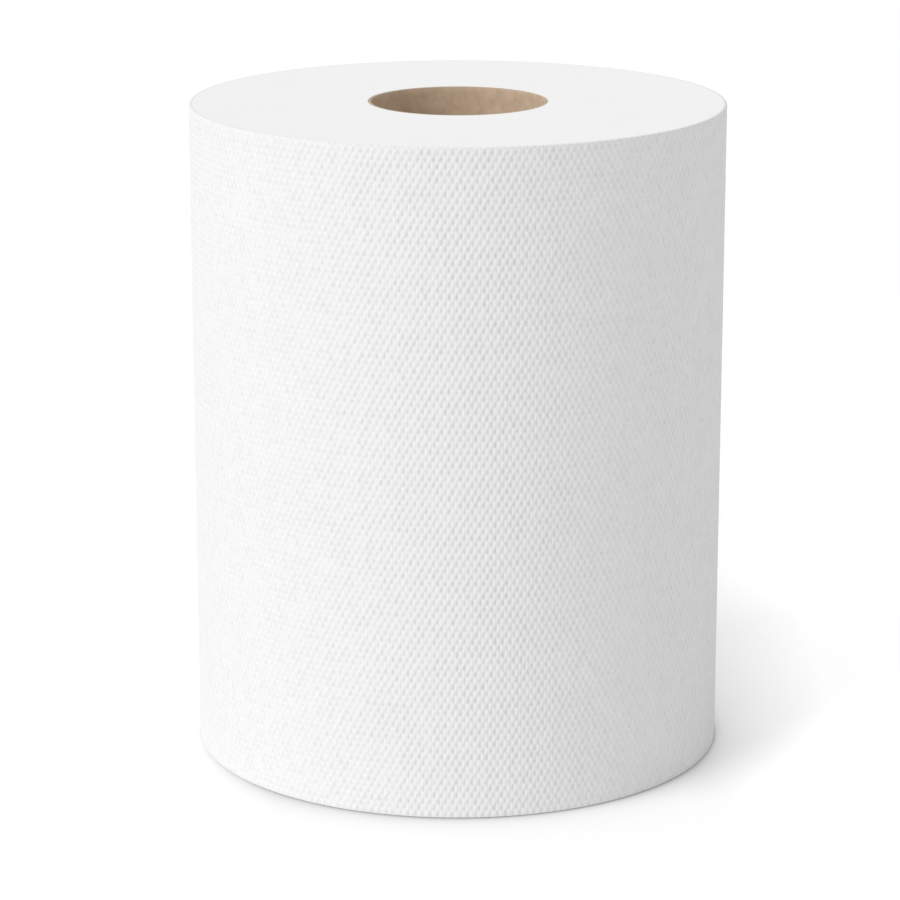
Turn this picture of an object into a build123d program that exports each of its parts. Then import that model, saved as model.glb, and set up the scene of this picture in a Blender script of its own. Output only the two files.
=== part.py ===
from build123d import *
import os

# Paper towel roll: one long web of embossed paper wound on a spiral-wound cardboard core.
# Millimetres. The roll stands on its end on Z = 0, with its axis along +Z and its tail at the back (+Y).

# Driving dimensions
roll_diameter = 165.0  # over the last turn, from the front to the tail
web_width = 203.0  # width of the paper, which is the height of the standing roll
sheet_thickness = 0.25  # one embossed sheet, as it shows at the tail's edge
rim_radius = 0.35  # soft corner where the wound edges meet the last turn
core_outer_diameter = 55.0
core_wall = 0.75
core_length = web_width  # the core is cut together with the web, flush at both ends
winding_clearance = 0.15  # radial air between the core and the first turn

# The last turn grows by one sheet on its way round, so its outline is a four-centre spiral:
# quarter arcs whose centres step round a small square, tangent where they meet, open only at the tail.
centre_step = sheet_thickness / 4
first_radius = roll_diameter / 2 - 2.5 * centre_step
tail_angle = 90  # degrees from +X, where the outline starts and the tail's edge ends it


def arc_centre(quarter):
    """Centre of one quarter arc. The four are set so that the outline's box is centred on the axis."""
    low, high = -1.5 * centre_step, -0.5 * centre_step
    return [(low, low), (high, low), (high, high), (low, high)][quarter]


def wound_quarter(quarter):
    """A quarter of the wound web: its rounded half section, turned about the arc's own centre."""
    radius = first_radius + quarter * centre_step
    half_section = Plane.XZ * Rectangle(radius, web_width, align=(Align.MIN, Align.MIN))
    rim_corners = half_section.vertices().sort_by(Axis.X)[-2:]
    half_section = fillet(rim_corners, rim_radius)
    turned = revolve(half_section, Axis.Z, revolution_arc=90)
    x, y = arc_centre(quarter)
    return Pos(x, y, 0) * Rot(0, 0, tail_angle + 90 * quarter) * turned


def make_paper_roll():
    """All turns of the web as one solid, bored through for the core."""
    turns = Part() + [wound_quarter(quarter) for quarter in range(4)]
    bore_radius = core_outer_diameter / 2 + winding_clearance
    return turns - extrude(Circle(bore_radius), web_width)


def make_core_tube():
    """The cardboard core: a plain thin tube, cut square."""
    outer_radius = core_outer_diameter / 2
    ring = Circle(outer_radius) - Circle(outer_radius - core_wall)
    return extrude(ring, core_length)


nodes = {
    "paper_roll": make_paper_roll(),
    "core_tube": make_core_tube(),
}

os.makedirs("parts", exist_ok=True)
for name, shape in nodes.items():
    export_step(shape, f"parts/{name}.step")
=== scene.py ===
"""Looks of a paper towel roll that stands on its end.

The embossed web is laid out flat and wound into the roll by a Geometry Nodes tree, the core is a
spiral-wound cardboard tube, and both take procedural finishes. All lengths are in metres.
"""

import logging
import math
from dataclasses import dataclass
from enum import Enum

import bmesh
import bpy
import numpy as np
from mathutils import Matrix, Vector


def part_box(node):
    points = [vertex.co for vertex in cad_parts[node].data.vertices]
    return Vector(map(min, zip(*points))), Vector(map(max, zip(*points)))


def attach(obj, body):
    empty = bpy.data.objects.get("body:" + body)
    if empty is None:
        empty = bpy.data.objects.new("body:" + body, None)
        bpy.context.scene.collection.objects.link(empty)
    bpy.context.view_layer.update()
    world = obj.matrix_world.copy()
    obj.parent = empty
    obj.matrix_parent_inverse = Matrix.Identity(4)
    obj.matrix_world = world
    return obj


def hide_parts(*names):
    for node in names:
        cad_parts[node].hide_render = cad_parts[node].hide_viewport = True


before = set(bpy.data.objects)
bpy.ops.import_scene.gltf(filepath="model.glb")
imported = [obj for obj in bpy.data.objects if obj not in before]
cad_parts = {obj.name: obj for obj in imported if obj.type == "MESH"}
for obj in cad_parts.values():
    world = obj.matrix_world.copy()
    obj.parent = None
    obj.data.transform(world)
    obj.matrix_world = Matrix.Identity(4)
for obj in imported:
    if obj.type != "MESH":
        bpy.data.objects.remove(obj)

LOG = logging.getLogger("towel_roll")
MM = 0.001
MILLILITRES = 1e6
SOCKET_KINDS = {
    int: "NodeSocketInt", float: "NodeSocketFloat", bpy.types.Material: "NodeSocketMaterial"}


class NoiseSpace(Enum):
    """Where a noise pattern lives: on the flat web or all through the solid."""

    FLAT = "2D"
    SOLID = "3D"


class Value:
    """A socket that can be used in a Python expression, which adds the Math nodes that it needs."""

    def __init__(self, graph: "Graph", socket: bpy.types.NodeSocket) -> None:
        """Keep the graph and the output socket that the expression reads.

        Args:
            graph: The graph that new Math nodes go into.
            socket: The output socket that holds the number.
        """
        self.graph = graph
        self.socket = socket

    def __add__(self, other: "Number") -> "Value":
        """This plus other."""
        return self.graph.math("ADD", self, other)

    def __radd__(self, other: "Number") -> "Value":
        """Other plus this."""
        return self.graph.math("ADD", other, self)

    def __sub__(self, other: "Number") -> "Value":
        """This minus other."""
        return self.graph.math("SUBTRACT", self, other)

    def __rsub__(self, other: "Number") -> "Value":
        """Other minus this."""
        return self.graph.math("SUBTRACT", other, self)

    def __mul__(self, other: "Number") -> "Value":
        """This times other."""
        return self.graph.math("MULTIPLY", self, other)

    def __rmul__(self, other: "Number") -> "Value":
        """Other times this."""
        return self.graph.math("MULTIPLY", other, self)

    def __truediv__(self, other: "Number") -> "Value":
        """This divided by other."""
        return self.graph.math("DIVIDE", self, other)

    def __rtruediv__(self, other: "Number") -> "Value":
        """Other divided by this."""
        return self.graph.math("DIVIDE", other, self)

    def __gt__(self, other: "Number") -> "Value":
        """One where this is more than other, else zero."""
        return self.graph.math("GREATER_THAN", self, other)

    def __lt__(self, other: "Number") -> "Value":
        """One where this is less than other, else zero."""
        return self.graph.math("LESS_THAN", self, other)


Number = Value | float | int


class Graph:
    """Builds a node tree: one method adds any node, and the others are short forms of it."""

    def __init__(self, tree: bpy.types.NodeTree) -> None:
        """Start on an empty tree.

        Args:
            tree: The node tree to fill. Its own nodes are removed.
        """
        self.tree = tree
        tree.nodes.clear()

    def node(self, kind: str, settings: dict | None = None, inputs: dict | None = None) -> bpy.types.Node:
        """Add a node, set it up and feed its sockets.

        Args:
            kind: The node's type, such as "ShaderNodeTexNoise".
            settings: The node's own options, such as a Math node's operation.
            inputs: Values or links by the socket's name or number.

        Returns:
            The new node.
        """
        node = self.tree.nodes.new(kind)
        for name, setting in (settings or {}).items():
            setattr(node, name, setting)
        for key, given in (inputs or {}).items():
            self.feed(node.inputs[key], given)
        return node

    def feed(self, socket: bpy.types.NodeSocket, given: object) -> None:
        """Link a socket to a value of the graph, or set its constant.

        Args:
            socket: The input socket.
            given: A Value, an output socket or a constant.
        """
        if isinstance(given, Value):
            self.tree.links.new(given.socket, socket)
        elif isinstance(given, bpy.types.NodeSocket):
            self.tree.links.new(given, socket)
        else:
            socket.default_value = given

    def value(self, kind: str, settings: dict | None = None, inputs: dict | None = None,
              output: str | int = 0) -> Value:
        """Add a node and wrap one of its outputs.

        Args:
            kind: The node's type.
            settings: The node's own options.
            inputs: Values or links by the socket's name or number.
            output: The output's name or number.

        Returns:
            The wrapped output.
        """
        return Value(self, self.node(kind, settings, inputs).outputs[output])

    def math(self, operation: str, *operands: Number, clamp: bool = False) -> Value:
        """Add a Math node.

        Args:
            operation: The node's operation, such as "FLOOR".
            *operands: One to three numbers or values.
            clamp: Whether the result is held between zero and one.

        Returns:
            The result.
        """
        inputs = dict(enumerate(operands))
        return self.value("ShaderNodeMath", {"operation": operation, "use_clamp": clamp}, inputs)

    def noise(self, place: Value, scale: float, detail: float, roughness: float = 0.5,
              space: NoiseSpace = NoiseSpace.SOLID, output: str = "Fac") -> Value:
        """Add a noise pattern.

        Args:
            place: The vector that the pattern is read at.
            scale: How often the pattern repeats in one unit of the vector.
            detail: How many finer layers it has.
            roughness: How strong each finer layer is.
            space: Whether the pattern is flat or solid.
            output: "Fac" for a number or "Color" for three.

        Returns:
            The noise, which lies round a half.
        """
        return self.value("ShaderNodeTexNoise", {"noise_dimensions": space.value}, {
            "Vector": place, "Scale": scale, "Detail": detail, "Roughness": roughness}, output)

    def mix(self, share: Number, first: object, second: object) -> Value:
        """Mix two colours.

        Args:
            share: How much of the second colour shows, from zero to one.
            first: A colour or a value that holds one.
            second: A colour or a value that holds one.

        Returns:
            The mixed colour.
        """
        ends = [(*end, 1.0) if isinstance(end, tuple) else end for end in (first, second)]
        return self.value("ShaderNodeMix", {"data_type": "RGBA"}, {0: share, 6: ends[0], 7: ends[1]}, 2)

    def surface(self, colour: Value, roughness: float, gloss: float, level: Value) -> None:
        """Finish a material with a matt surface whose relief is bump.

        Args:
            colour: The colour over the surface.
            roughness: The surface's roughness.
            gloss: How strongly it shines.
            level: The height of the relief, in metres.
        """
        bump = self.value("ShaderNodeBump", None, {
            "Strength": 1.0, "Distance": 1.0, "Height": level}, "Normal")
        shader = self.node("ShaderNodeBsdfPrincipled", None, {
            "Base Color": colour, "Roughness": roughness, "Specular IOR Level": gloss, "Normal": bump})
        self.node("ShaderNodeOutputMaterial", None, {"Surface": shader.outputs[0]})

    def vector(self, x: Number, y: Number, z: Number) -> Value:
        """Join three numbers into a vector."""
        return self.value("ShaderNodeCombineXYZ", None, {0: x, 1: y, 2: z})

    def parts(self, vector: Value) -> tuple[Value, Value, Value]:
        """Split a vector into its three numbers."""
        split = self.node("ShaderNodeSeparateXYZ", None, {0: vector})
        return tuple(Value(self, socket) for socket in split.outputs)


@dataclass(frozen=True)
class RollSizes:
    """Sizes of the roll, read from the frame or repeated from the real object."""

    height: float
    radius: float
    core_radius: float
    core_wall: float = 0.75 * MM
    sheet_thickness: float = 0.25 * MM
    rim_radius: float = 0.35 * MM
    winding_clearance: float = 0.15 * MM
    tail_angle: float = math.pi / 2

    @classmethod
    def from_frame(cls) -> "RollSizes":
        """Read the overall sizes from the CAD boxes.

        Returns:
            The sizes of the roll as packed.
        """
        low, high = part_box("paper_roll")
        core_low, core_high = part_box("core_tube")
        return cls(
            height=high.z - low.z, radius=(high.y - low.y) / 2, core_radius=(core_high.x - core_low.x) / 2)

    @property
    def core_bore_radius(self) -> float:
        """Inner radius of the cardboard core."""
        return self.core_radius - self.core_wall

    @property
    def bore_radius(self) -> float:
        """Radius of the paper's bore, just clear of the core."""
        return self.core_radius + self.winding_clearance


@dataclass(frozen=True)
class Emboss:
    """The lattice of pits in the web, with every other row half a pitch along."""

    around: int
    rows: int
    pitch: float
    row_pitch: float
    first_row: float
    depth: float = 0.25 * MM
    depth_spread: float = 0.3
    wander: float = 0.2 * MM
    lean: float = 0.2
    sway: float = 0.3 * MM
    sway_length: float = 32.0 * MM
    sway_fade: float = 12.0 * MM

    @classmethod
    def on_roll(cls, sizes: RollSizes, around: int = 230, rows: int = 101) -> "Emboss":
        """Fit whole pitches round the roll and whole rows between its rounded rims.

        Args:
            sizes: The sizes of the roll.
            around: Pits in a row.
            rows: Rows of pits.

        Returns:
            The lattice on this roll.
        """
        pitch = 2 * math.pi * sizes.radius / around
        row_pitch = (sizes.height - 2 * sizes.rim_radius) / rows
        return cls(around, rows, pitch, row_pitch, sizes.rim_radius)

    @property
    def length(self) -> float:
        """Length of the last turn of the web."""
        return self.around * self.pitch


def row_sway(graph: Graph, along: Value, height: Value, web: tuple[Number, Number, Number],
             sway: tuple[Number, Number, Number]) -> tuple[Value, Value]:
    """Work out how far the rows of pits wander at a place, as they do in soft paper, but not at the borders.

    Args:
        graph: The tree's graph.
        along: Distance along the flat web from its tail.
        height: Distance up the flat web from its lower edge.
        web: The web's length, its width and the plain margin at its edges.
        sway: Twice the usual shift, the length of a wave, and the distance over which it dies out.

    Returns:
        The shift along the web and the shift up the web.
    """
    (length, width, margin), (reach, wave, fade) = web, sway
    waves = graph.noise(graph.vector(along / wave, height / wave, 0.0), 1.0, detail=2.0,
                        space=NoiseSpace.FLAT, output="Color")
    sideways, upwards, _ = graph.parts(waves)
    to_end = graph.math("MINIMUM", along, length - along)
    to_rim = graph.math("MINIMUM", height - margin, width - margin - height)
    inner = graph.math("MULTIPLY", graph.math("MINIMUM", to_end, to_rim) / fade, 1.0, clamp=True)
    here = inner * reach * 2
    return (sideways - 0.5) * here, (upwards - 0.5) * here


@dataclass(frozen=True)
class TissueFinish:
    """Bleached tissue: bright, matt and fibrous, with rounded pits that the mesh roughs out. Its colour
    carries painted shade: greyer over the embossed face and its rims, and a little darker in the pits.
    """

    sizes: RollSizes
    emboss: Emboss
    colour: tuple[float, float, float] = (0.92, 0.92, 0.92)
    # painted shade: the embossed face and its rims are greyer than the end faces, standing in for shadow
    # among the pits
    painted_face_shade: float = 0.9
    # painted shade: the bottoms of the pits are a little darker, standing in for shade in the hollows
    painted_pit_shade: float = 0.98
    roughness: float = 0.92
    gloss: float = 0.2
    pit_relief: float = 0.24 * MM
    pit_width: float = 0.4
    pit_reach: float = 0.85
    wall_curve: float = 1.65
    bottom_along: float = 0.25 * MM
    bottom_up: float = -0.7 * MM
    warp_size: float = 1.2 * MM
    warp: float = 0.3 * MM
    fibre_length: float = 0.5 * MM
    fibre_relief: float = 0.005 * MM
    cloud_size: float = 14.0 * MM
    cloud_tone: float = 0.012
    turn_pitch: float = 0.5 * MM
    turn_relief: float = 0.02 * MM
    turn_length: float = 60.0 * MM

    @staticmethod
    def _to_wall(graph: Graph, place: Value, bottom: float, half_size: float) -> Value:
        """Work out how far a place lies from the bottom of a pit towards its wall, on one axis.

        Args:
            graph: The material's graph.
            place: Distance from the middle of the pit.
            bottom: Where the bottom lies, from the middle.
            half_size: Distance from the middle to either wall.

        Returns:
            Zero at the bottom, rising evenly to one at the walls and held there.
        """
        from_bottom = place - bottom
        ahead, behind = from_bottom / (half_size - bottom), from_bottom / (-half_size - bottom)
        return graph.math("MINIMUM", graph.math("MAXIMUM", ahead, behind), 1.0)

    def _row_of_pits(self, graph: Graph, along: Value, row_place: Value, row: Value) -> Value:
        """Work out how far one row of pits presses the web down at a point.

        Args:
            graph: The material's graph.
            along: Distance along the web from its tail.
            row_place: Distance up the web, counted in rows.
            row: The row's number.

        Returns:
            Zero away from the row's pits, rising to about one at the bottom of a pit.
        """
        emboss = self.emboss
        column_place = along / emboss.pitch - graph.math("FLOORED_MODULO", row, 2.0) * 0.5
        column = graph.math("FLOOR", column_place)
        chance = graph.node("ShaderNodeTexWhiteNoise", {"noise_dimensions": "2D"}, {
            "Vector": graph.vector(column, row, 0.0)})
        right, up, deep = graph.parts(Value(graph, chance.outputs["Color"]))
        x = (column_place - column - 0.5) * emboss.pitch + (right - 0.5) * emboss.wander
        y = (row_place - row - 0.5) * emboss.row_pitch + (up - 0.5) * emboss.wander
        wide = self._to_wall(graph, x, self.bottom_along, emboss.pitch * self.pit_width)
        tall = self._to_wall(graph, y - x * emboss.lean, self.bottom_up, emboss.row_pitch * self.pit_reach)
        across = 1 - graph.math("POWER", wide, self.wall_curve)
        upwards = 1 - tall * tall
        varied = 1 + (deep - 0.5) * (2 * emboss.depth_spread)
        return across * across * upwards * upwards * varied

    def _bowls(self, graph: Graph, along: Value, height: Value) -> Value:
        """Work out how far the web is pressed down at a point, as a share of a whole pit.

        Args:
            graph: The material's graph.
            along: Distance along the web from its tail.
            height: Distance up the web from its lower edge.

        Returns:
            Zero between the pits and at the web's edges, rising to about one at the bottom of a pit.
        """
        emboss = self.emboss
        ripple = graph.noise(graph.vector(along / self.warp_size, height / self.warp_size, 0.0), 1.0,
                             detail=1.0, space=NoiseSpace.FLAT, output="Color")
        right, up, _ = graph.parts(ripple)
        warped_along = along + (right - 0.5) * self.warp
        row_place = (height + (up - 0.5) * self.warp - emboss.first_row) / emboss.row_pitch
        below = graph.math("FLOOR", row_place - 0.5)
        bowls = (self._row_of_pits(graph, warped_along, row_place, below)
                 + self._row_of_pits(graph, warped_along, row_place, below + 1))
        width = emboss.rows * emboss.row_pitch + 2 * emboss.first_row
        to_edge = graph.math("MINIMUM", height, width - height)
        return bowls * graph.math("MINIMUM", to_edge / emboss.first_row, 1.0)

    def _flat_place(self, graph: Graph, place: Value) -> tuple[Value, Value, Value]:
        """Unwind a point of the roll to its place on the flat web.

        Args:
            graph: The material's graph.
            place: The point on the roll.

        Returns:
            Distance along the web from its tail, distance up it, and distance out from the roll's radius.
        """
        x, y, z = graph.parts(place)
        sizes, emboss = self.sizes, self.emboss
        turn = graph.math("FRACT", (graph.math("ARCTAN2", y, x) - sizes.tail_angle) / (2 * math.pi))
        along = turn * emboss.length
        sideways, upwards = row_sway(graph, along, z, (emboss.length, sizes.height, sizes.rim_radius),
                                     (emboss.sway, emboss.sway_length, emboss.sway_fade))
        outward = graph.math("SQRT", x * x + y * y) - sizes.radius
        return along - sideways, z - upwards, outward

    def _turns(self, graph: Graph, along: Value, height: Value, outward: Value) -> Value:
        """Work out how the edges of the turns stand on the end faces, as long arcs round the axis.

        Args:
            graph: The material's graph.
            along: Distance along the web from its tail.
            height: Distance up the web from its lower edge.
            outward: Distance out from the roll's radius.

        Returns:
            A number round zero on the end faces, and zero elsewhere.
        """
        on_end = graph.vector(along / self.turn_length, outward / self.turn_pitch, 0.0)
        arcs = graph.noise(on_end, 1.0, detail=3.0, roughness=0.6, space=NoiseSpace.FLAT)
        middle = self.emboss.first_row + self.emboss.rows * self.emboss.row_pitch / 2
        far = graph.math("ABSOLUTE", height - middle)
        return (arcs - 0.5) * (far > middle - self.emboss.first_row / 4)

    def build(self) -> bpy.types.Material:
        """Make the material.

        Returns:
            The finished material.
        """
        material = bpy.data.materials.new("white_tissue")
        material.use_nodes = True
        graph = Graph(material.node_tree)
        place = graph.value("ShaderNodeTexCoord", None, None, "Object")
        along, height, outward = self._flat_place(graph, place)
        on_face = outward > -(self.sizes.sheet_thickness + self.sizes.rim_radius + 2 * self.emboss.depth)
        bowls = self._bowls(graph, along, height) * on_face
        turns = self._turns(graph, along, height, outward)
        fibres = graph.noise(place, 1 / self.fibre_length, detail=4.0, roughness=0.7)
        clouds = graph.noise(place, 1 / self.cloud_size, detail=2.0)
        # The tone is painted shade over the embossed face and in the pits, times random clouds of real tone.
        tone = (1 - on_face * (1 - self.painted_face_shade)) * (1 - bowls * (1 - self.painted_pit_shade))
        tone = tone * (1 + (clouds - 0.5) * (2 * self.cloud_tone))
        colour = graph.value("ShaderNodeVectorMath", {"operation": "SCALE"}, {0: self.colour, "Scale": tone})
        level = fibres * self.fibre_relief + turns * self.turn_relief - bowls * self.pit_relief
        graph.surface(colour, self.roughness, self.gloss, level)
        return material


@dataclass(frozen=True)
class KraftFinish:
    """Brown kraft board of the core, mottled and matt, paler where it was cut."""

    sizes: RollSizes
    colour: tuple[float, float, float] = (0.66, 0.52, 0.39)
    dark_fleck: tuple[float, float, float] = (0.52, 0.39, 0.27)
    cut_colour: tuple[float, float, float] = (0.52, 0.43, 0.32)
    seam_colour: tuple[float, float, float] = (0.36, 0.26, 0.17)
    roughness: float = 0.85
    gloss: float = 0.2
    fleck_size: float = 3.0 * MM
    fleck_contrast: float = 2.4
    fleck_start: float = 0.7
    fibre_size: float = 0.4 * MM
    fibre_relief: float = 0.02 * MM
    cut_depth: float = 0.12 * MM

    def build(self) -> bpy.types.Material:
        """Make the material.

        Returns:
            The finished material.
        """
        material = bpy.data.materials.new("brown_kraft")
        material.use_nodes = True
        graph = Graph(material.node_tree)
        place = graph.value("ShaderNodeTexCoord", None, None, "Object")
        _, _, height = graph.parts(place)
        seam = graph.value("ShaderNodeAttribute", {"attribute_name": "seam"}, None, "Fac")
        flecks = graph.noise(place, 1 / self.fleck_size, detail=5.0, roughness=0.65)
        fibres = graph.noise(place, 1 / self.fibre_size, detail=3.0, roughness=0.6)
        middle = self.sizes.height / 2
        cut = graph.math("ABSOLUTE", height - middle) > middle - self.cut_depth
        pale = graph.math("SUBTRACT", flecks * self.fleck_contrast, self.fleck_start, clamp=True)
        board = graph.mix(pale, self.dark_fleck, self.colour)
        board = graph.mix(seam, board, self.seam_colour)
        board = graph.mix(cut, board, self.cut_colour)
        graph.surface(board, self.roughness, self.gloss, fibres * self.fibre_relief)
        return material


@dataclass(frozen=True)
class DimpleCell:
    """One brick of the embossed lattice: a flat rim with a pit whose floor is a short edge."""

    pitch: float
    row_pitch: float
    depth: float
    lean: float
    floor_share: float = 0.3

    def build(self) -> bpy.types.Mesh:
        """Make the brick's mesh, centred on its pit, with six rim corners and two floor corners.

        Returns:
            A mesh of eight triangles that face +Z.
        """
        x, y, half_floor = self.pitch / 2, self.row_pitch / 2, self.pitch * self.floor_share / 2
        rim = [(-x, -y, 0), (0, -y, 0), (x, -y, 0), (x, y, 0), (0, y, 0), (-x, y, 0)]
        rise = half_floor * self.lean
        floor = [(-half_floor, -rise, -self.depth), (half_floor, rise, -self.depth)]
        left, right = 6, 7
        faces = [(0, 1, left), (1, right, left), (1, 2, right), (2, 3, right),
                 (3, 4, right), (4, left, right), (4, 5, left), (5, 0, left)]
        mesh = bpy.data.meshes.new("dimple_cell")
        mesh.from_pydata(rim + floor, [], faces)
        return mesh


class WebTree:
    """The Geometry Nodes tree that lays the web out as a flat slab and winds it into the roll.

    On the flat slab x runs along the web from its tail, y runs up it, and z points out of its face.
    """

    def __init__(self, inputs: dict[str, object]) -> None:
        """Start the tree and name its inputs.

        Args:
            inputs: The value of each input by its name. The value's type settles the socket's type.
        """
        self.tree = bpy.data.node_groups.new("wind_embossed_web", "GeometryNodeTree")
        self.graph = Graph(self.tree)
        self.tree.interface.new_socket("Dimple", in_out="INPUT", socket_type="NodeSocketGeometry")
        for name, value in inputs.items():
            self.tree.interface.new_socket(name, in_out="INPUT", socket_type=SOCKET_KINDS[type(value)])
        self.tree.interface.new_socket("Roll", in_out="OUTPUT", socket_type="NodeSocketGeometry")
        self.group_input = self.graph.node("NodeGroupInput")

    def build(self) -> bpy.types.NodeTree:
        """Join the parts of the slab, wind it, close it and dress it.

        Returns:
            The node group.
        """
        graph = self.graph
        merge_distance, sharp_angle, paper = self._given("Merge Distance", "Sharp Angle", "Paper")
        face = self._joined(self._edge_bricks(), self._dimples())
        slab = self._joined(self._tail_step(), self._ends(), self._mapped_face(face))
        wound = self._moved(slab, self._wound_position())
        closed = graph.value("GeometryNodeMergeByDistance", None, {
            "Geometry": wound, "Distance": merge_distance})
        smooth = graph.value("GeometryNodeSetShadeSmooth", {"domain": "FACE"}, {
            "Geometry": closed, "Shade Smooth": True})
        bend = graph.value("GeometryNodeInputMeshEdgeAngle", None, None, "Unsigned Angle")
        crisp = graph.value("GeometryNodeSetShadeSmooth", {"domain": "EDGE"}, {
            "Geometry": smooth, "Selection": bend > sharp_angle, "Shade Smooth": False})
        dressed = graph.value("GeometryNodeSetMaterial", None, {"Geometry": crisp, "Material": paper})
        graph.node("NodeGroupOutput", None, {"Roll": dressed})
        return self.tree

    def _given(self, *names: str) -> list[Value]:
        """Wrap some of the tree's inputs, in the order of their names."""
        return [Value(self.graph, self.group_input.outputs[name]) for name in names]

    def _joined(self, *parts: Value) -> Value:
        """Join some parts of the slab.

        Args:
            *parts: The parts to join.

        Returns:
            The joined part.
        """
        joined = self.graph.node("GeometryNodeJoinGeometry")
        for part in parts:
            self.graph.feed(joined.inputs[0], part)
        return Value(self.graph, joined.outputs[0])

    def _moved(self, part: Value, place: Value) -> Value:
        """Move every vertex of a part to its place."""
        return self.graph.value("GeometryNodeSetPosition", None, {"Geometry": part, "Position": place})

    def _mapped(self, part: Value, turn: Value, across: Value) -> Value:
        """Store a map, named OFBake, that repeats along the web.

        Args:
            part: The part of the slab.
            turn: How far round the roll a place lies, in turns from the tail.
            across: How far across the map it lies, from zero to one.

        Returns:
            The part with its map.
        """
        start, repeats = self._given("Map Start", "Map Repeats")
        place = self.graph.vector((turn - start) * repeats, across, 0.0)
        return self.graph.value("GeometryNodeStoreNamedAttribute", {
            "data_type": "FLOAT2", "domain": "CORNER"}, {"Geometry": part, "Name": "OFBake", "Value": place})

    def _repeated(self, count: Value, place: Value, instances: dict[str, Value]) -> Value:
        """Set a brick on each of a number of points.

        Args:
            count: How many points there are.
            place: Where each point lies, by its index.
            instances: The brick, and what else the instances take.

        Returns:
            The bricks.
        """
        points = self.graph.value("GeometryNodePoints", None, {"Count": count, "Position": place})
        bricks = self.graph.value("GeometryNodeInstanceOnPoints", None, {"Points": points, **instances})
        return self.graph.value("GeometryNodeRealizeInstances", None, {"Geometry": bricks})

    def _strip(self, columns: Number, last: Value) -> tuple[Value, Value, Value]:
        """Make a plain grid of vertices, to be moved into place.

        Args:
            columns: How many columns of vertices it has.
            last: The number of its last row, where the first is zero.

        Returns:
            The grid, a vertex's place across the columns from zero to one, and the number of its row.
        """
        grid = self.graph.value("GeometryNodeMeshGrid", None, {
            "Size X": 1.0, "Size Y": 1.0, "Vertices X": columns, "Vertices Y": last + 1})
        x, y, _ = self.graph.parts(self.graph.value("GeometryNodeInputPosition"))
        return grid, x + 0.5, self.graph.math("ROUND", (y + 0.5) * last)

    def _quarter_sine(self, share: Value) -> Value:
        """Sine over a quarter turn, as the share goes from zero to one, and held there."""
        return self.graph.math("SINE", self.graph.math("MINIMUM", share, 1.0) * (math.pi / 2))

    def _flat_radius(self) -> Value:
        """Radius of the flat part of the end faces: a plain circle inside the rounded rim."""
        radius, thickness, rim = self._given("Roll Radius", "Sheet Thickness", "Rim Radius")
        return radius - thickness - rim

    def _dimples(self) -> Value:
        """Repeat the dimple cell in rows, every other row half a pitch along.

        Returns:
            The embossed face of the slab, without the half bricks at the tail.
        """
        around, rows, pitch, row_pitch, rim, spread, seed, dimple = self._given(
            "Dimples Around", "Dimple Rows", "Dimple Pitch", "Row Pitch", "Rim Radius", "Depth Spread",
            "Seed", "Dimple")
        graph = self.graph
        index = graph.value("GeometryNodeInputIndex")
        row = graph.math("MODULO", index, rows)
        column = graph.math("FLOOR", (index + 0.5) / rows)
        odd = graph.math("MODULO", row, 2)
        place = graph.vector((column + 0.5 + 0.5 * odd) * pitch, rim + (row + 0.5) * row_pitch, 0.0)
        crosses_tail = odd * (column > around - 1.5)
        depth = graph.value("FunctionNodeRandomValue", {"data_type": "FLOAT"}, {
            2: 1 - spread, 3: 1 + spread, "Seed": seed}, 1)
        return self._repeated(around * rows, place, {
            "Selection": 1 - crosses_tail, "Instance": dimple, "Scale": graph.vector(1.0, 1.0, depth)})

    def _edge_bricks(self) -> Value:
        """Fill every other row with a plain half brick at both ends of the web, where the tail was cut.

        Returns:
            The half bricks.
        """
        around, rows, pitch, row_pitch, rim = self._given(
            "Dimples Around", "Dimple Rows", "Dimple Pitch", "Row Pitch", "Rim Radius")
        graph = self.graph
        index = graph.value("GeometryNodeInputIndex")
        end = graph.math("MODULO", index, 2)
        row = 2 * graph.math("FLOOR", (index + 0.5) / 2) + 1
        place = graph.vector(pitch * (0.25 + end * (around - 0.5)), rim + (row + 0.5) * row_pitch, 0.0)
        brick = graph.value("GeometryNodeMeshGrid", None, {
            "Size X": pitch / 2, "Size Y": row_pitch, "Vertices X": 2, "Vertices Y": 2})
        return self._repeated(2 * graph.math("FLOOR", rows / 2), place, {"Instance": brick})

    def _mapped_face(self, face: Value) -> Value:
        """Give the embossed face its part of the map.

        Args:
            face: The embossed face.

        Returns:
            The face with its map.
        """
        around, pitch, width, share = self._given(
            "Dimples Around", "Dimple Pitch", "Web Width", "Map Share")
        along, height, _ = self.graph.parts(self.graph.value("GeometryNodeInputPosition"))
        return self._mapped(face, along / (around * pitch), share * height / width)

    def _ends(self) -> Value:
        """Lay the strip that runs from the upper edge of the embossed face over the upper end, down the
        bore and back under the lower end.

        Returns:
            The strip with its map.
        """
        around, pitch, rim, steps, support, bore, width = self._given(
            "Dimples Around", "Dimple Pitch", "Rim Radius", "Rim Steps", "Support Ring", "Bore Radius",
            "Web Width")
        share, rim_share, bore_share = self._given("Map Share", "Rim Map Share", "Bore Map Share")
        graph = self.graph
        last = 2 * steps + 5
        strip, turn, station = self._strip(2 * around + 1, last)
        lower = station > last / 2
        ring = graph.math("MINIMUM", station, last - station)
        edge = rim * self._quarter_sine(ring / steps)
        inset = rim - edge
        flat_radius = self._flat_radius()
        depth = support * (ring > steps + 0.5) + (flat_radius - support - bore) * (ring > steps + 1.5)
        height = inset + (1 - lower) * (width - 2 * inset)
        over = rim_share * graph.math("MINIMUM", edge / rim, 1.0) + bore_share * depth / (flat_radius - bore)
        across = lower * (1 - over) + (1 - lower) * over
        mapped = self._mapped(strip, turn, share + (1 - share) * across)
        return self._moved(mapped, graph.vector(turn * around * pitch, height, 0 - depth))

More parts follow.
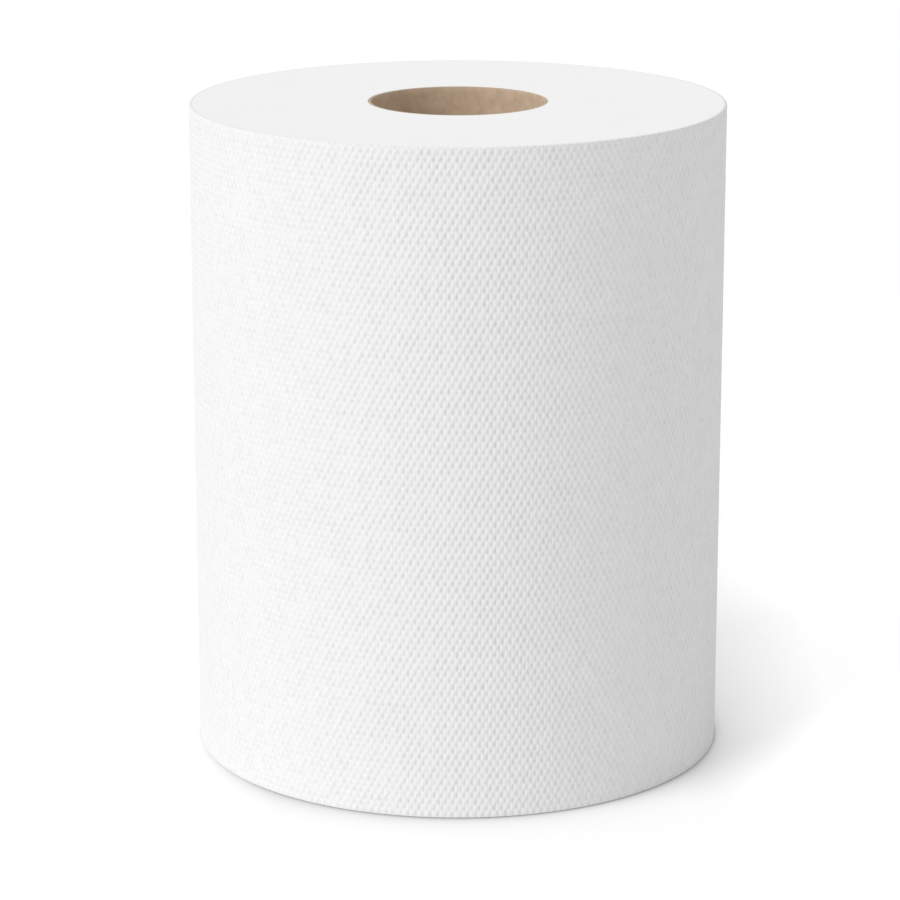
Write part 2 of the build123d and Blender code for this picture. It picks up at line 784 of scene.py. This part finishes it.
    def _tail_step(self) -> Value:
        """Lay the strip between the two ends of the web, which becomes the tail's cut edge once it is wound.

        On the map it is a sliver at the web's end, clear of the embossed face.

        Returns:
            The strip with its map.
        """
        around, rows, pitch, row_pitch, rim, steps, width, share = self._given(
            "Dimples Around", "Dimple Rows", "Dimple Pitch", "Row Pitch", "Rim Radius", "Rim Steps",
            "Web Width", "Map Share")
        graph = self.graph
        strip, across, station = self._strip(2, rows + 2 * steps)
        back = 1 - across
        below = graph.math("MAXIMUM", steps - station, 0.0)
        above = graph.math("MAXIMUM", station - steps - rows, 0.0)
        level = graph.math("MINIMUM", graph.math("MAXIMUM", station - steps, 0.0), rows)
        height = (rim * (1 - self._quarter_sine(below / steps)) + level * row_pitch
                  + rim * self._quarter_sine(above / steps))
        mapped = self._mapped(strip, 1 + back / around, share * height / width)
        return self._moved(mapped, graph.vector(back * around * pitch, height, 0.0))

    def _wound_position(self) -> Value:
        """Wind the slab: along the web becomes round the roll, and depth becomes distance to the axis.

        The outline is a four-centre spiral that grows by one sheet a turn, as on the real roll.

        Returns:
            The position on the wound roll.
        """
        around, pitch, radius, width, thickness, rim, tail = self._given(
            "Dimples Around", "Dimple Pitch", "Roll Radius", "Web Width", "Sheet Thickness", "Rim Radius",
            "Tail Angle")
        graph = self.graph
        along, height, relief = self._swayed()
        turn = along / (around * pitch)
        quarter = graph.math("MINIMUM", graph.math("FLOOR", turn * 4), 3.0)
        step = thickness / 4
        centre_x = step * ((quarter > 0.5) * (quarter < 2.5) - 1.5)
        centre_y = step * ((quarter > 1.5) - 1.5)
        arc_radius = radius - 2.5 * step + quarter * step
        edge = graph.math("MINIMUM", height, width - height)
        drop = 1 - graph.math("MINIMUM", edge / rim, 1.0)
        outward = graph.math("SQRT", graph.math("MAXIMUM", 1 - drop * drop, 0.0))
        flat_radius = self._flat_radius()
        reach = flat_radius + (arc_radius - flat_radius) * outward + relief
        angle = tail + turn * (2 * math.pi)
        return graph.vector(centre_x * outward + reach * graph.math("COSINE", angle),
                            centre_y * outward + reach * graph.math("SINE", angle), height)

    def _swayed(self) -> tuple[Value, Value, Value]:
        """Let the rows of pits wander a little, as an emboss in soft paper does, but not at the borders.

        Returns:
            Distance along the flat web, distance up it, and distance out of its face.
        """
        around, pitch, rim, width, sway, sway_length, fade = self._given(
            "Dimples Around", "Dimple Pitch", "Rim Radius", "Web Width", "Sway", "Sway Length", "Sway Fade")
        along, height, relief = self.graph.parts(self.graph.value("GeometryNodeInputPosition"))
        sideways, upwards = row_sway(
            self.graph, along, height, (around * pitch, width, rim), (sway, sway_length, fade))
        return along + sideways, height + upwards, relief


@dataclass
class WoundWeb:
    """The paper of the roll: an embossed web, laid out flat and wound into one closed solid."""

    sizes: RollSizes
    emboss: Emboss
    finish: bpy.types.Material
    rim_steps: int = 3
    support_ring: float = 0.4 * MM
    map_start: float = 0.25
    map_repeats: float = 2.0
    map_share: float = 0.72
    rim_map_share: float = 0.05
    bore_map_share: float = 0.35
    merge_distance: float = 0.01 * MM
    sharp_angle: float = math.radians(50)
    seed: int = 3

    def inputs(self) -> dict[str, object]:
        """List the inputs of the tree.

        Returns:
            The value of each input by its name.
        """
        size, emboss = self.sizes, self.emboss
        return {
            "Dimples Around": emboss.around,
            "Dimple Rows": emboss.rows,
            "Dimple Pitch": emboss.pitch,
            "Row Pitch": emboss.row_pitch,
            "Depth Spread": emboss.depth_spread,
            "Roll Radius": size.radius,
            "Web Width": size.height,
            "Sheet Thickness": size.sheet_thickness,
            "Rim Radius": size.rim_radius,
            "Rim Steps": self.rim_steps,
            "Support Ring": self.support_ring,
            "Bore Radius": size.bore_radius,
            "Tail Angle": size.tail_angle,
            "Sway": emboss.sway,
            "Sway Length": emboss.sway_length,
            "Sway Fade": emboss.sway_fade,
            "Map Start": self.map_start,
            "Map Repeats": self.map_repeats,
            "Map Share": self.map_share,
            "Rim Map Share": self.rim_map_share,
            "Bore Map Share": self.bore_map_share,
            "Merge Distance": self.merge_distance,
            "Sharp Angle": self.sharp_angle,
            "Seed": self.seed,
            "Paper": self.finish,
        }

    def build(self) -> bpy.types.Object:
        """Make the paper of the roll as one plain mesh.

        Returns:
            The finished piece, which stands for the CAD node of the paper.
        """
        emboss, values = self.emboss, self.inputs()
        cell = DimpleCell(emboss.pitch, emboss.row_pitch, emboss.depth, emboss.lean).build()
        piece = bpy.data.objects.new("embossed_paper", cell)
        bpy.context.scene.collection.objects.link(piece)
        modifier = piece.modifiers.new("wind", "NODES")
        modifier.node_group = WebTree(values).build()
        for socket in modifier.node_group.interface.items_tree:
            if socket.name in values:
                modifier[socket.identifier] = values[socket.name]
        mesh = plain_mesh(piece, "embossed_paper")
        piece.modifiers.remove(modifier)
        piece.data = mesh
        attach(piece, "root")
        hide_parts("paper_roll")
        return piece


@dataclass
class CoreTube:
    """The cardboard core: a tube wound from strips on a slant, which leaves a shallow helical seam inside."""

    sizes: RollSizes
    finish: bpy.types.Material
    columns: int = 120
    row_step: float = 1.6 * MM
    strip_width: float = 75.0 * MM
    gap_width: float = 0.3 * MM
    gap_slope: float = 0.2 * MM
    gap_depth: float = 0.15 * MM
    cut_round: float = 0.12 * MM
    seam_start: float = -math.pi / 2

    @property
    def twist(self) -> float:
        """Work out how far the seam turns.

        Returns:
            The angle that it turns through in a metre of height.
        """
        around = 2 * math.pi * self.sizes.core_bore_radius
        slant = math.asin(self.strip_width / around)
        return 2 * math.pi / (around * math.tan(slant))

    def columns_round(self) -> tuple[np.ndarray, np.ndarray]:
        """Place the columns of vertices round the tube, with four of them across the seam.

        Returns:
            Each column's angle from the seam, and its depth in the gap as a share of the whole.
        """
        half = self.gap_width / 2
        across = np.array([-half - self.gap_slope, -half, half, half + self.gap_slope])
        near = across / self.sizes.core_bore_radius
        rest = np.linspace(near[-1], 2 * math.pi + near[0], self.columns)[1:-1]
        return np.concatenate([near, rest]), np.concatenate([[0, 1, 1, 0], np.zeros(rest.size)])

    def section(self) -> list[tuple[float, float, float]]:
        """List the wall's closed section, from the outer foot up, over the cut end and down inside.

        Returns:
            Radius, height and share of the seam's depth of each point.
        """
        outer, inner = self.sizes.core_radius, self.sizes.core_bore_radius
        top, round_off = self.sizes.height, self.cut_round
        soft = round_off * (1 - math.sqrt(0.5))
        steps = math.ceil((top - 2 * round_off) / self.row_step)
        levels = [round_off + (top - 2 * round_off) * step / steps for step in range(steps + 1)]
        up = [(outer, level, 0.0) for level in levels]
        over = [(outer - soft, top - soft, 0.0), (outer - round_off, top, 0.0),
                (inner + round_off, top, 0.0), (inner + soft, top - soft, 0.5)]
        down = [(inner, level, 1.0) for level in reversed(levels)]
        under = [(radius, top - level, share) for radius, level, share in reversed(over)]
        return up + over + down + under

    def build(self) -> bpy.types.Object:
        """Make the core as one closed mesh.

        Returns:
            The finished piece, which stands for the CAD node of the core.
        """
        angles, gaps = self.columns_round()
        radius, level, share = np.array(self.section()).T[:, :, None]
        turned = angles + self.seam_start + self.twist * (self.sizes.height - level)
        reach = radius + self.gap_depth * gaps * share
        places = np.stack(np.broadcast_arrays(reach * np.cos(turned), reach * np.sin(turned), level), axis=-1)
        stations, columns = reach.shape
        here = np.arange(stations * columns).reshape(stations, columns)
        beyond = np.roll(here, -1, axis=1)
        faces = np.stack([here, beyond, np.roll(beyond, -1, axis=0), np.roll(here, -1, axis=0)], axis=-1)
        mesh = bpy.data.meshes.new("spiral_core")
        mesh.from_pydata(places.reshape(-1, 3).tolist(), [], faces.reshape(-1, 4).tolist())
        mesh.shade_smooth()
        seam = mesh.attributes.new("seam", "FLOAT", "POINT")
        seam.data.foreach_set("value", (gaps * share).ravel())
        mesh.materials.append(self.finish)
        piece = bpy.data.objects.new("spiral_core", mesh)
        bpy.context.scene.collection.objects.link(piece)
        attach(piece, "root")
        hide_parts("core_tube")
        return piece


def plain_mesh(piece: bpy.types.Object, name: str) -> bpy.types.Mesh:
    """Evaluate a piece's modifiers and return the result as a mesh of its own.

    Args:
        piece: The object with live modifiers.
        name: The new mesh's name.

    Returns:
        The evaluated mesh.
    """
    bpy.context.view_layer.update()
    evaluated = piece.evaluated_get(bpy.context.evaluated_depsgraph_get())
    mesh = bpy.data.meshes.new_from_object(evaluated)
    mesh.name = name
    return mesh


def report_piece(piece: bpy.types.Object) -> None:
    """Log a piece's triangles, open edges and volume.

    Args:
        piece: The finished piece.
    """
    shape = bmesh.new()
    shape.from_mesh(piece.data)
    triangles = sum(len(face.verts) - 2 for face in shape.faces)
    open_edges = sum(len(edge.link_faces) != 2 for edge in shape.edges)
    LOG.info("%s: %d triangles, %d open edges, volume %.1f ml",
             piece.name, triangles, open_edges, shape.calc_volume(signed=True) * MILLILITRES)
    shape.free()


@dataclass
class Studio:
    """Floor, backdrop, lights and camera."""

    floor_size: float = 12.0
    floor_bounce: float = 0.9
    floor_white: float = 1.06
    foot_radius: float = 82.5 * MM
    # painted contact shadow round the roll's foot, with a painted dark line right under its rim
    foot_shade: float = 0.49
    foot_reach: float = 2.4 * MM
    foot_lean: float = 0.75
    foot_left: float = 1.15
    foot_left_growth: float = 2.1
    foot_shadow_line: float = 0.14
    foot_shadow_line_reach: float = 0.6 * MM
    # painted light: the floor grows whiter to the right, which thins out the roll's cast shadow there
    painted_shadow_lift: float = 0.44
    lift_start: float = 62.0 * MM
    lift_end: float = 122.0 * MM
    lift_middle: float = 55.0 * MM
    lift_lean: float = 0.3
    sky: float = 0.67
    key_strength: float = 1.58
    key_azimuth: float = math.radians(-56.5)
    key_elevation: float = math.radians(35.0)
    key_angle: float = math.radians(36.0)
    key_distance: float = 2.0
    camera_distance: float = 1061.6 * MM
    camera_height: float = 376.4 * MM
    camera_pitch: float = math.radians(15.0)
    focal_pixels: float = 3487.0
    axis_pixel: float = 457.9
    picture_pixels: int = 900
    sensor_width: float = 36.0

    @staticmethod
    def _seen(graph: Graph) -> Value:
        """Tell rays that show the background, directly or through gloss and glass, from those that light.

        Args:
            graph: The graph of the floor or the world.

        Returns:
            One for a ray that shows the background, else zero.
        """
        path = graph.node("ShaderNodeLightPath")
        camera, glossy, through = (Value(graph, path.outputs[name]) for name in (
            "Is Camera Ray", "Is Glossy Ray", "Is Transmission Ray"))
        return graph.math("MAXIMUM", graph.math("MAXIMUM", camera, glossy), through)

    def _floor_white(self, graph: Graph) -> Value:
        """Work out how white the floor is: plain, with a painted contact shadow that is greyer at the roll's
        foot and darkest at its rim, and painted light that thins out the cast shadow to the right.

        Args:
            graph: The floor's graph.

        Returns:
            The floor's whiteness, which is more than one to the right, where painted light thins out the cast
            shadow.
        """
        x, y, _ = graph.parts(graph.value("ShaderNodeTexCoord", None, None, "Object"))
        from_foot = graph.math("MAXIMUM", graph.math("SQRT", x * x + y * y) - self.foot_radius, 0.0)
        to_side = graph.math("MINIMUM", x / self.foot_radius, 1.0)
        reach = self.foot_reach * (1 - to_side * self.foot_lean)
        from_left = graph.math("MULTIPLY", to_side + self.foot_left, self.foot_left_growth, clamp=True)
        # painted contact shadow: a dark line under the rim and a grey shade round the foot, fainter to the
        # left
        near = from_foot / self.foot_shadow_line_reach
        line = (1 - to_side * to_side) * self.foot_shadow_line / (1 + near * near)
        shade = line + from_left * self.foot_shade / (1 + from_foot / reach)
        # painted light that lifts the floor's whiteness over the cast shadow to the right
        from_middle = graph.math("ABSOLUTE", y - self.lift_middle)
        place = x - graph.math("MAXIMUM", from_middle - self.lift_middle, 0.0) * self.lift_lean
        away = graph.math("DIVIDE", place - self.lift_start, self.lift_end - self.lift_start, clamp=True)
        return (self.floor_white - shade) * (1 + away * self.painted_shadow_lift)

    def build_floor(self) -> bpy.types.Object:
        """Lay a wide pale floor that keeps the object's shadow.

        Its white is two halves added up, because one diffuse surface can't be whiter than plain white.

        Returns:
            The floor, marked as stage.
        """
        half = self.floor_size / 2
        mesh = bpy.data.meshes.new("floor")
        corners = [(-half, -half, 0), (half, -half, 0), (half, half, 0), (-half, half, 0)]
        mesh.from_pydata(corners, [], [(0, 1, 2, 3)])
        material = bpy.data.materials.new("pale_floor")
        material.use_nodes = True
        graph = Graph(material.node_tree)
        bounce = graph.node("ShaderNodeBsdfDiffuse", None, {0: (*[self.floor_bounce] * 3, 1.0)})
        grey = self._floor_white(graph) * 0.5
        white = graph.node("ShaderNodeBsdfDiffuse", None, {0: graph.vector(grey, grey, grey)})
        bright = graph.node("ShaderNodeAddShader", None, {0: white.outputs[0], 1: white.outputs[0]})
        mix = graph.node("ShaderNodeMixShader", None, {
            0: self._seen(graph), 1: bounce.outputs[0], 2: bright.outputs[0]})
        graph.node("ShaderNodeOutputMaterial", None, {"Surface": mix.outputs[0]})
        mesh.materials.append(material)
        floor = bpy.data.objects.new("floor", mesh)
        bpy.context.scene.collection.objects.link(floor)
        return floor

    def build_world(self) -> None:
        """Fill the studio with even light, and show plain white behind the floor."""
        world = bpy.data.worlds.new("studio")
        bpy.context.scene.world = world
        world.use_nodes = True
        graph = Graph(world.node_tree)
        strength = self.sky + self._seen(graph) * (1.0 - self.sky)
        light = graph.node("ShaderNodeBackground", None, {"Color": (1, 1, 1, 1), "Strength": strength})
        graph.node("ShaderNodeOutputWorld", None, {"Surface": light.outputs[0]})

    def build_key(self) -> bpy.types.Object:
        """Hang one large soft light in front, to the left and above.

        Returns:
            The lamp.
        """
        lamp = bpy.data.lights.new("key", "SUN")
        lamp.energy = self.key_strength
        lamp.angle = self.key_angle
        key = bpy.data.objects.new("key", lamp)
        towards = Vector((
            math.sin(self.key_azimuth) * math.cos(self.key_elevation),
            -math.cos(self.key_azimuth) * math.cos(self.key_elevation),
            math.sin(self.key_elevation)))
        key.rotation_euler = towards.to_track_quat("Z", "Y").to_euler()
        key.location = towards * self.key_distance
        bpy.context.scene.collection.objects.link(key)
        return key

    def build_camera(self) -> bpy.types.Object:
        """Set the camera at the photograph's place, looking a little to the left of the roll's axis.

        Returns:
            The camera.
        """
        data = bpy.data.cameras.new("camera")
        data.sensor_width = self.sensor_width
        data.lens = self.focal_pixels / self.picture_pixels * self.sensor_width
        camera = bpy.data.objects.new("camera", data)
        yaw = math.atan((self.axis_pixel - self.picture_pixels / 2) / self.focal_pixels)
        camera.location = (0, -self.camera_distance, self.camera_height)
        camera.rotation_euler = (math.pi / 2 - self.camera_pitch, 0, yaw)
        bpy.context.scene.collection.objects.link(camera)
        bpy.context.scene.camera = camera
        return camera

    def build(self) -> None:
        """Set up the whole studio."""
        bpy.context.scene.view_settings.view_transform = "Standard"
        self.build_floor()
        self.build_world()
        self.build_key()
        self.build_camera()


def main() -> None:
    """Build the studio and dress the roll."""
    logging.basicConfig(level=logging.INFO, format="%(name)s: %(message)s")
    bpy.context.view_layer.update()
    Studio().build()
    sizes = RollSizes.from_frame()
    LOG.info("sizes %s", sizes)
    emboss = Emboss.on_roll(sizes)
    report_piece(WoundWeb(sizes, emboss, TissueFinish(sizes, emboss).build()).build())
    report_piece(CoreTube(sizes, KraftFinish(sizes).build()).build())


if __name__ == "__main__":
    main()
